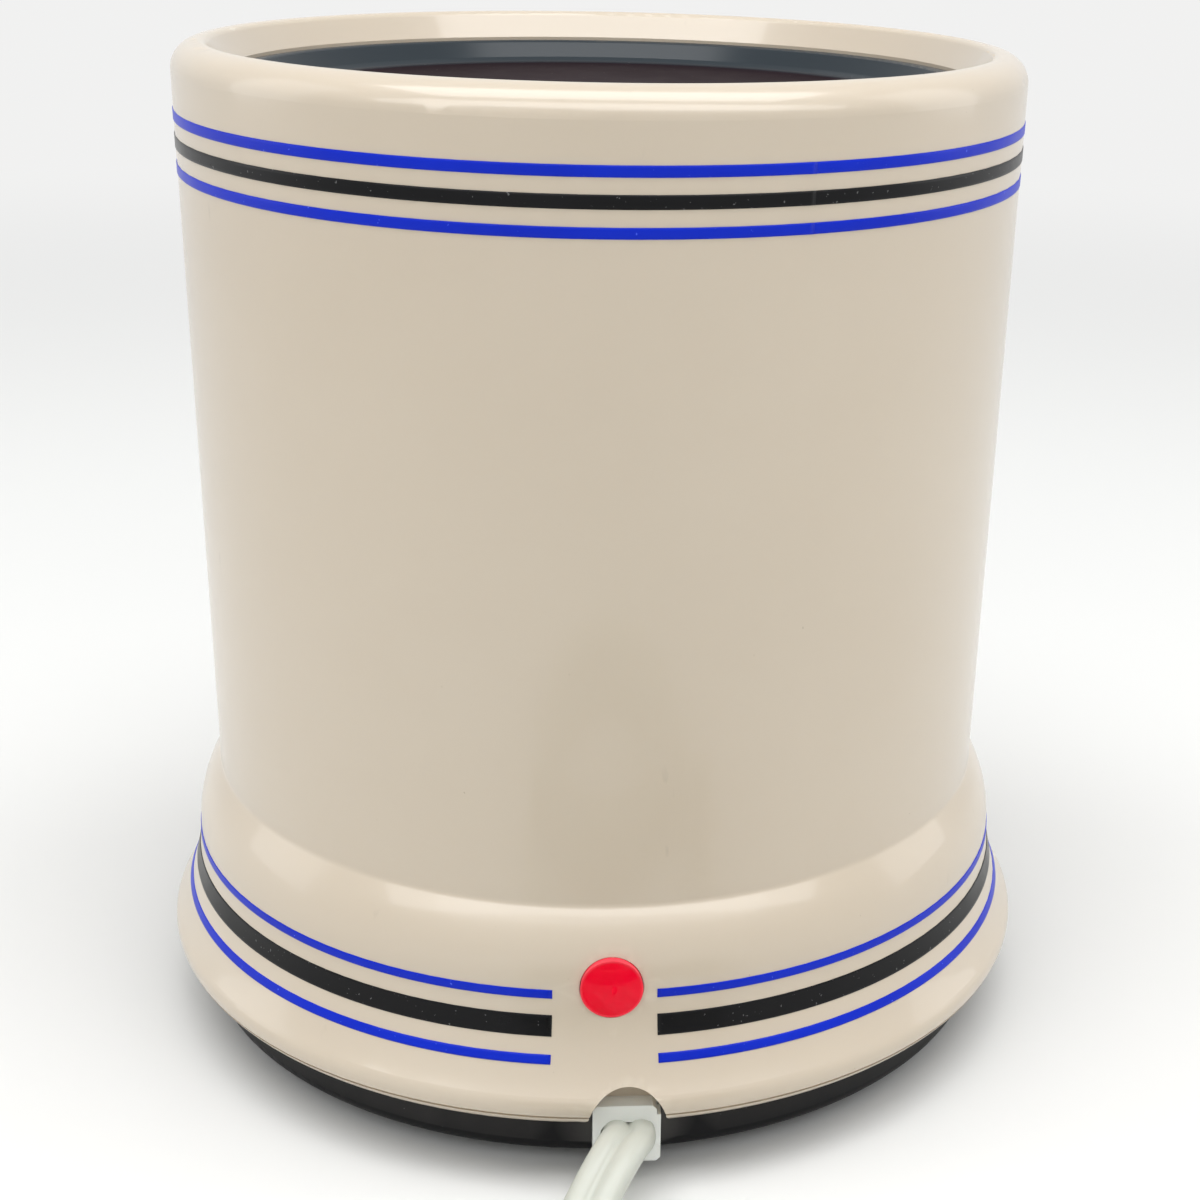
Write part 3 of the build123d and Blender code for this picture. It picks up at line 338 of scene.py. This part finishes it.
def coil_controls():
    """Control points of the coil, from the end of the route to the plug."""
    tangent_run = outer_radius * math.tan(math.pi / turn_points)
    control_share = math.cos(math.pi / turn_points)
    controls = [(-outer_radius, coil_y + tangent_run, low_level)]
    for step in range(coil_halves * half_points):
        halves = (step + 0.5) / half_points
        distance, level = coil_spot(halves)
        angle = math.pi * (1 + halves)
        controls.append((
            distance / control_share * math.cos(angle),
            coil_y + distance / control_share * math.sin(angle),
            level,
        ))
    controls.append((plug_radius, coil_y + tangent_run, high_level))
    controls.append((plug_radius, plug_start + plug_bite, high_level))
    return controls


def spline_path(controls):
    """Points in metres along the smooth spline of control points in mm."""
    line = bpy.data.curves.new("cord_line", "CURVE")
    line.dimensions = "3D"
    spline = line.splines.new("NURBS")
    spline.points.add(len(controls) - 1)
    for point, spot in zip(spline.points, controls):
        point.co = (spot[0] * mm, spot[1] * mm, spot[2] * mm, 1)
    spline.order_u = 3
    spline.use_endpoint_u = True
    spline.resolution_u = 5
    line_object = add_object("cord_line", line)
    line_mesh = bpy.data.meshes.new_from_object(line_object)
    points = [vertex.co.copy() for vertex in line_mesh.vertices]
    bpy.data.objects.remove(line_object)
    bpy.data.meshes.remove(line_mesh)
    return points


path = spline_path(route + coil_controls())

# Section of the flat twin cord in mm: two round lobes, a groove between them and a finer one on one core
cord_width = 7.5
cord_thickness = 3.8
lobe = cord_thickness / 2
lobe_centre = cord_width / 2 - lobe
lobe_spread = 1.35
lobe_power = 0.62
section_points = 56
groove_depth = 0.85
groove_width = 0.62
side_groove = 0.16
side_groove_place = 2.55
side_groove_width = 0.3

# Level of the cord's middle where it lies flat, and the y beyond which it turns on edge as it rises
flat_level = 2.0
flat_until = -115.0


def cord_section(place):
    """Point of the section, across and up in mm, at a share of its outline."""
    across = math.cos(2 * math.pi * place)
    rise = math.sin(2 * math.pi * place)
    x = math.copysign(min(abs(across) * lobe_spread, 1.0), across) * lobe_centre + lobe * across
    y = lobe * math.copysign(abs(rise) ** lobe_power, rise)
    reach = abs(x) - lobe_centre
    if reach > 0:
        y = math.copysign(math.sqrt(max(lobe**2 - reach**2, 0)), rise)
    y -= math.copysign(groove_depth * math.exp(-((x / groove_width) ** 2)), y)
    y -= math.copysign(side_groove * math.exp(-(((x - side_groove_place) / side_groove_width) ** 2)), y)
    return x, y


def cord_rings(built, points):
    """Rings of the section along the cord, lying flat at first and turning on edge towards the coil."""
    section = [cord_section(step / section_points) for step in range(section_points)]
    sky = Vector((0, 0, 1))
    rings = []
    for index, here in enumerate(points):
        before = points[max(index - 1, 0)]
        after = points[min(index + 1, len(points) - 1)]
        heading = (after - before).normalized()
        level_side = sky.cross(heading).normalized()
        lift_side = heading.cross(level_side)
        lifted = (here.z / mm - flat_level) / lobe_centre
        twist = math.asin(min(max(lifted, 0.0), 1.0)) if here.y < flat_until * mm else 0.0
        wide = math.cos(twist) * level_side + math.sin(twist) * lift_side
        thick = heading.cross(wide)
        rings.append([built.verts.new(here + (wide * x + thick * y) * mm) for x, y in section])
    return rings


cord_build = bmesh.new()
skin(cord_build, cord_rings(cord_build, path))
cord_data = mesh_of("mains_cord", cord_build)
for face in cord_data.polygons:
    face.use_smooth = True
cord = add_object("mains_cord", cord_data)
cord_data.materials.append(finish_of(
    "cord_vinyl", srgb(196, 199, 189), srgb(188, 190, 179), 0.38, coat=0.08, size=0.03, grain=0.0009,
    bump=0.12, bump_depth=0.00006, rough_spread=0.12, specks=srgb(200, 197, 190), speck_size=0.0015,
    speck_level=0.76, scatter=0.1,
))
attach(cord, "root")
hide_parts("cord_free", "cord_coil")

# Stripes in mm: the housing's outside where they lie, as radius and height, and how the ink sits on it
shank_foot = (62.9, 41.4)
shank_head = (65.1, 152.1)
bulge = (66.6, 30.3)
flare = (70.9, 15.3)
flare_step = flare[0] - bulge[0]
flare_arc = ((bulge[1] - flare[1]) ** 2 + flare_step**2) / (2 * flare_step)
ink_proud = 0.09
ink_soft = 0.05
ink_sunk = 0.12
row_height = 0.35
step_angle = math.radians(0.75)
lap_run = math.radians(2.0)
lap_ramp = math.radians(1.0)
lap_rise = 0.08
lap_angle = math.radians(1.2)
seam = math.radians(22)
gap_radius = 67.5
gap_right = math.asin(6.6 / gap_radius)
gap_left = math.asin(8.5 / gap_radius)


def shank_reach(height):
    """Radius of the tall wall at a height."""
    share = (height - shank_foot[1]) / (shank_head[1] - shank_foot[1])
    return shank_foot[0] + (shank_head[0] - shank_foot[0]) * share


def flare_reach(height):
    """Radius of the flared foot at a height below its waist."""
    return bulge[0] + flare_arc - math.sqrt(flare_arc**2 - (bulge[1] - height) ** 2)


def stripe_outline(low, high):
    """Height and offset from the wall of each point round a stripe's section, with softened edges."""
    first = low + ink_soft
    run = high - low - 2 * ink_soft
    rows = max(2, round((high - low) / row_height))
    outline = [(low, -ink_sunk), (low, ink_proud - ink_soft)]
    outline += [(first + run * row / rows, ink_proud) for row in range(rows + 1)]
    outline += [(high, ink_proud - ink_soft), (high, -ink_sunk)]
    return outline


def add_stripe(name, low, high, finish, reach, start, end, lapped=False):
    """Thin stripe round the housing between two heights and two azimuths."""
    outline = stripe_outline(low, high)
    count = max(2, round((end - start) / step_angle))
    built = bmesh.new()
    bands = []
    for place in range(count + 1):
        angle = start + (end - start) * place / count
        rise = lap_rise * smooth((angle - (end - lap_run)) / lap_ramp) if lapped else 0.0
        band = []
        for height, offset in outline:
            radius = reach(height) + offset + rise
            spot = Vector((radius * math.sin(angle), -radius * math.cos(angle), height))
            band.append(built.verts.new(spot * mm))
        bands.append(band)
    skin(built, bands)
    data = mesh_of(name, built)
    for face in data.polygons:
        face.use_smooth = len(face.vertices) == 4
    data.materials.append(finish)
    piece = add_object(name, data)
    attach(piece, "root")


stripe_blue = finish_of(
    "stripe_blue", srgb(0, 40, 194), srgb(0, 34, 182), 0.36, coat=0.04, specular=0.14, size=0.02,
    grain=0.0008, bump=0.05, rough_spread=0.08, specks=srgb(70, 96, 220), speck_size=0.0008, speck_level=0.72,
)
stripe_black = finish_of(
    "stripe_black", srgb(8, 8, 10), srgb(14, 14, 16), 0.32, coat=0.06, specular=0.14, size=0.02,
    grain=0.0008, bump=0.05, rough_spread=0.1, specks=srgb(96, 96, 96), speck_size=0.0006, speck_level=0.7,
)
upper_stripes = (
    ("stripe_upper_a", 144.99, 146.55, stripe_blue),
    ("stripe_upper_b", 140.91, 142.81, stripe_black),
    ("stripe_upper_c", 137.11, 138.63, stripe_blue),
)
for stripe in upper_stripes:
    add_stripe(*stripe, shank_reach, seam, seam + 2 * math.pi + lap_angle, lapped=True)
lower_stripes = (
    ("stripe_lower_a", 28.70, 30.05, stripe_blue),
    ("stripe_lower_b", 23.10, 26.20, stripe_black),
    ("stripe_lower_c", 19.35, 20.65, stripe_blue),
)
for stripe in lower_stripes:
    add_stripe(*stripe, flare_reach, gap_right, 2 * math.pi - gap_left)

# Lens and plate in metres: where the lens is and its painted rim highlight begins, and the glossier ring of
# the plate with its painted reflection tint
lens_middle = (0, 0, 0.0305)
# Painted highlight: the lens turns paler pink between these distances from its middle, up to this strength
painted_highlight_reach = (0.00416, 0.0045)
painted_highlight_strength = 0.3
ring_reach = (0.0505, 0.0530)
# Painted reflection: the cooler, paler grey-blue colour given to the plate's sloped ring
painted_reflection_tint = srgb(40, 48, 54)
ring_rough = 0.2
ring_coat = 0.4


def lens_finish():
    """Red plastic with a paler pink painted highlight at the lens's rim."""
    made, tree, shader = material("lens_red")
    place = object_place(tree)
    drift = noise(tree, place, size=0.003, detail=3)
    tint = blend(tree, spread(tree, drift, 0, 1), srgb(250, 0, 44), srgb(240, 0, 38))
    reach = reach_from(tree, place, lens_middle, kept=(1, 0, 1))
    # Painted highlight: paler pink mixed into the red towards the lens's rim
    painted_rim_highlight = spread(tree, reach, 0, painted_highlight_strength, *painted_highlight_reach)
    tree.links.new(blend(tree, painted_rim_highlight, tint, srgb(255, 120, 135)), shader.inputs["Base Color"])
    tree.links.new(spread(tree, drift, low=0.06, high=0.14), shader.inputs["Roughness"])
    roughen(tree, shader, noise(tree, place, size=0.0012, detail=2), strength=0.05, depth=0.00005)
    set_sockets(shader, {
        "Transmission Weight": 0.05,
        "Specular IOR Level": 0.15,
        "IOR": 1.49,
        "Coat Weight": 0.05,
        "Coat Roughness": 0.03,
    })
    return made


def gloss_and_painted_reflection_ring(finish):
    """Glossier band on the plate's sloped ring, outside its flat, with a cooler grey-blue colour that is a
    painted reflection.
    """
    tree = finish.node_tree
    shader = tree.nodes["Principled BSDF"]
    colour = shader.inputs["Base Color"]
    rough = shader.inputs["Roughness"]
    ring = spread(tree, reach_from(tree, object_place(tree)), 0, 1, *ring_reach, ease=True)
    # Painted reflection: the ring's colour turns to the cooler grey-blue tint, while its lower roughness and
    # coat are real gloss
    tree.links.new(blend(tree, ring, colour.links[0].from_socket, painted_reflection_tint), colour)
    tree.links.new(blend(tree, ring, rough.links[0].from_socket, ring_rough, kind="FLOAT"), rough)
    tree.links.new(spread(tree, ring, 0, ring_coat, 0, 1), shader.inputs["Coat Weight"])


# Finish of each material slot of the record
finishes = {
    "housing_cream": finish_of(
        "cream_moulding", srgb(204, 191, 172), srgb(200, 186, 166), 0.32, coat=0.6, coat_rough=0.06,
        size=0.07, grain=0.005, bump=0.035, bump_depth=0.00006, rough_spread=0.03,
        specks=srgb(178, 164, 142), speck_size=0.0009, speck_level=0.78, edge=srgb(222, 212, 194),
        scatter=0.08, scuffs=srgb(176, 164, 146),
    ),
    "plate_coat": finish_of(
        "plate_coat", srgb(32, 21, 27), srgb(28, 18, 23), 0.5, specular=0.015, coat_rough=0.15, size=0.03,
        grain=0.0004, bump=0.12, bump_depth=0.00003, rough_spread=0.08, specks=srgb(112, 104, 102),
        speck_size=0.0007, speck_level=0.74, edge=srgb(88, 88, 96),
    ),
    "gasket_black": finish_of("gasket_black", srgb(30, 30, 30), srgb(38, 38, 38), 0.7, bump=0.3),
    "mica": finish_of("mica", srgb(196, 176, 140), srgb(150, 128, 94), 0.35, size=0.008, coat=0.3),
    "resistance_alloy": finish_of(
        "resistance_alloy", srgb(150, 148, 144), srgb(112, 104, 98), 0.38, metal=1.0, size=0.006,
    ),
    "fibre_pad": finish_of(
        "fibre_pad", srgb(232, 230, 224), srgb(214, 210, 200), 0.9, grain=0.0004, bump=0.8,
        bump_depth=0.0003, sheen=0.3,
    ),
    "zinc_steel": finish_of(
        "zinc_steel", srgb(186, 188, 190), srgb(160, 160, 158), 0.3, metal=1.0, size=0.005,
        edge=srgb(220, 220, 222),
    ),
    "galvanised": finish_of(
        "galvanised", srgb(176, 180, 184), srgb(140, 144, 150), 0.42, metal=1.0, size=0.008,
        rough_spread=0.2,
    ),
    "brass_tab": finish_of(
        "brass_tab", srgb(206, 172, 104), srgb(168, 132, 70), 0.32, metal=1.0, size=0.004,
    ),
    "fuse_case": finish_of(
        "fuse_case", srgb(214, 214, 218), srgb(190, 190, 194), 0.25, metal=1.0, size=0.004,
    ),
    "white_ceramic": finish_of("white_ceramic", srgb(238, 234, 226), srgb(222, 216, 204), 0.6, bump=0.3),
    "white_sleeve": finish_of(
        "white_sleeve", srgb(236, 232, 222), srgb(214, 208, 196), 0.8, grain=0.0005, bump=0.7,
        bump_depth=0.0002, sheen=0.3,
    ),
    "black_sleeve": finish_of(
        "black_sleeve", srgb(34, 34, 36), srgb(52, 52, 52), 0.8, grain=0.0005, bump=0.7, bump_depth=0.0002,
        sheen=0.2,
    ),
    "cap_plastic": finish_of("cap_plastic", srgb(226, 220, 204), srgb(210, 204, 188), 0.45),
    "lens_red": lens_finish(),
    "spring_steel": finish_of(
        "spring_steel", srgb(120, 120, 124), srgb(90, 88, 88), 0.35, metal=1.0, size=0.004,
    ),
    "lamp_glass": finish_of(
        "lamp_glass", srgb(250, 250, 250), srgb(240, 240, 240), 0.05, transmission=0.9, rough_spread=0.02,
        bump=0.02,
    ),
    "resistor_body": finish_of("resistor_body", srgb(206, 180, 130), srgb(184, 158, 110), 0.4, size=0.003),
    "thin_wire": finish_of("thin_wire", srgb(236, 234, 228), srgb(220, 217, 208), 0.45),
    "pan_black": finish_of(
        "pan_black", srgb(12, 12, 14), srgb(18, 18, 20), 0.45, specular=0.12, size=0.02, grain=0.0005,
        bump=0.25, bump_depth=0.00005, specks=srgb(88, 88, 90), speck_size=0.0009, speck_level=0.75,
        edge=srgb(84, 82, 80),
    ),
    "foot_rubber": finish_of(
        "foot_rubber", srgb(34, 34, 34), srgb(48, 47, 46), 0.75, grain=0.0005, bump=0.4, bump_depth=0.0001,
        specks=srgb(120, 116, 110), speck_size=0.0006, speck_level=0.73,
    ),
    "relief_cream": finish_of(
        "relief_moulding", srgb(240, 245, 245), srgb(233, 238, 237), 0.4, size=0.01, grain=0.0007, bump=0.15,
        bump_depth=0.00006, edge=srgb(236, 237, 231), scatter=0.1,
    ),
    "cord_white": finish_of(
        "plug_vinyl", srgb(222, 222, 213), srgb(213, 212, 203), 0.4, coat=0.1, size=0.015, grain=0.0006,
        bump=0.25, bump_depth=0.00008, specks=srgb(196, 192, 184), speck_size=0.0012, speck_level=0.74,
        scatter=0.12,
    ),
    "tie_white": finish_of(
        "tie_strap", srgb(228, 228, 226), srgb(218, 218, 216), 0.3, coat=0.3, grain=0.0008, bump=0.2,
        scatter=0.2,
    ),
    "blade_nickel": finish_of(
        "blade_nickel", srgb(206, 202, 194), srgb(178, 172, 162), 0.22, metal=1.0, size=0.006, grain=0.0003,
        bump=0.08, stretch=(1, 12, 1), rough_spread=0.14,
    ),
}
# Real gloss and a painted reflection tint on the plate's sloped ring
gloss_and_painted_reflection_ring(finishes["plate_coat"])
slots = {part["node"]: part["material_slot"] for part in frame["record"]["subparts"]}
for node_name, node in nodes.items():
    node.data.materials.clear()
    node.data.materials.append(finishes[slots[node_name]])

# Floor and world in metres: the floor takes the shadow and fades to the backdrop further out
backdrop = (0.88, 0.88, 0.875, 1)
floor_half = 3.0
floor_tint = srgb(232, 232, 230)
fade_reach = (0.25, 0.95)
room_tint = (0.96, 0.98, 1.0, 1)
room_strength = 0.42


def blend_shaders(tree, factor, first, second, output):
    """Mix of two shaders on the surface of an output node."""
    mixed = tree.nodes.new("ShaderNodeMixShader")
    tree.links.new(factor, mixed.inputs["Fac"])
    tree.links.new(first, mixed.inputs[1])
    tree.links.new(second, mixed.inputs[2])
    tree.links.new(mixed.outputs["Shader"], output.inputs["Surface"])


def floor_finish():
    """Pale matt floor that turns into the backdrop away from the object."""
    made, tree, shader = material("floor_pale")
    set_sockets(shader, {"Base Color": floor_tint, "Roughness": 0.7, "Specular IOR Level": 0.2})
    fade = spread(tree, reach_from(tree, object_place(tree)), 0, 1, *fade_reach, ease=True)
    far_floor = tree.nodes.new("ShaderNodeEmission")
    set_sockets(far_floor, {"Color": backdrop, "Strength": 1.0})
    blend_shaders(
        tree, combine(tree, "MULTIPLY", fade, backdrop_rays(tree)), shader.outputs["BSDF"],
        far_floor.outputs["Emission"], tree.nodes["Material Output"],
    )
    return made


floor_corners = [(x * floor_half, y * floor_half, 0) for x, y in ((-1, -1), (1, -1), (1, 1), (-1, 1))]
floor_data = bpy.data.meshes.new("floor")
floor_data.from_pydata(floor_corners, [], [(0, 1, 2, 3)])
floor_data.materials.append(floor_finish())
floor = add_object("floor", floor_data)

world = bpy.data.worlds.new("studio")
bpy.context.scene.world = world
world.use_nodes = True
world_tree = world.node_tree
world_tree.nodes.clear()
room = world_tree.nodes.new("ShaderNodeBackground")
seen = world_tree.nodes.new("ShaderNodeBackground")
set_sockets(room, {"Color": room_tint, "Strength": room_strength})
set_sockets(seen, {"Color": backdrop, "Strength": 1.0})
blend_shaders(
    world_tree, backdrop_rays(world_tree), room.outputs["Background"], seen.outputs["Background"],
    world_tree.nodes.new("ShaderNodeOutputWorld"),
)


# Lamps in metres and watts, of which the gleam gives highlights only
lamp_aim = (0, 0, 0.08)


def softbox(name, spot, width, height, power):
    """Area lamp aimed at the object's middle."""
    data = bpy.data.lights.new(name, "AREA")
    data.shape = "RECTANGLE"
    data.size = width
    data.size_y = height
    data.energy = power
    lamp = add_object(name, data)
    lamp.location = spot
    lamp.rotation_euler = (Vector(lamp_aim) - Vector(spot)).to_track_quat("-Z", "Y").to_euler()
    return lamp


softbox("top", spot=(0, -0.2, 1.2), width=1.5, height=0.7, power=13.5)
softbox("front", spot=(0, -0.9, 0.78), width=2.0, height=0.5, power=3.7)
gleam = softbox("gleam", spot=(0, -0.9, 0.84), width=3.4, height=0.4, power=11.5)
gleam.visible_diffuse = False
softbox("left", spot=(-1.0, 0.1, 0.4), width=0.5, height=1.0, power=1.8)
softbox("right", spot=(1.0, 0.1, 0.4), width=0.5, height=1.0, power=1.8)

view_settings = bpy.context.scene.view_settings
view_settings.view_transform = "Standard"
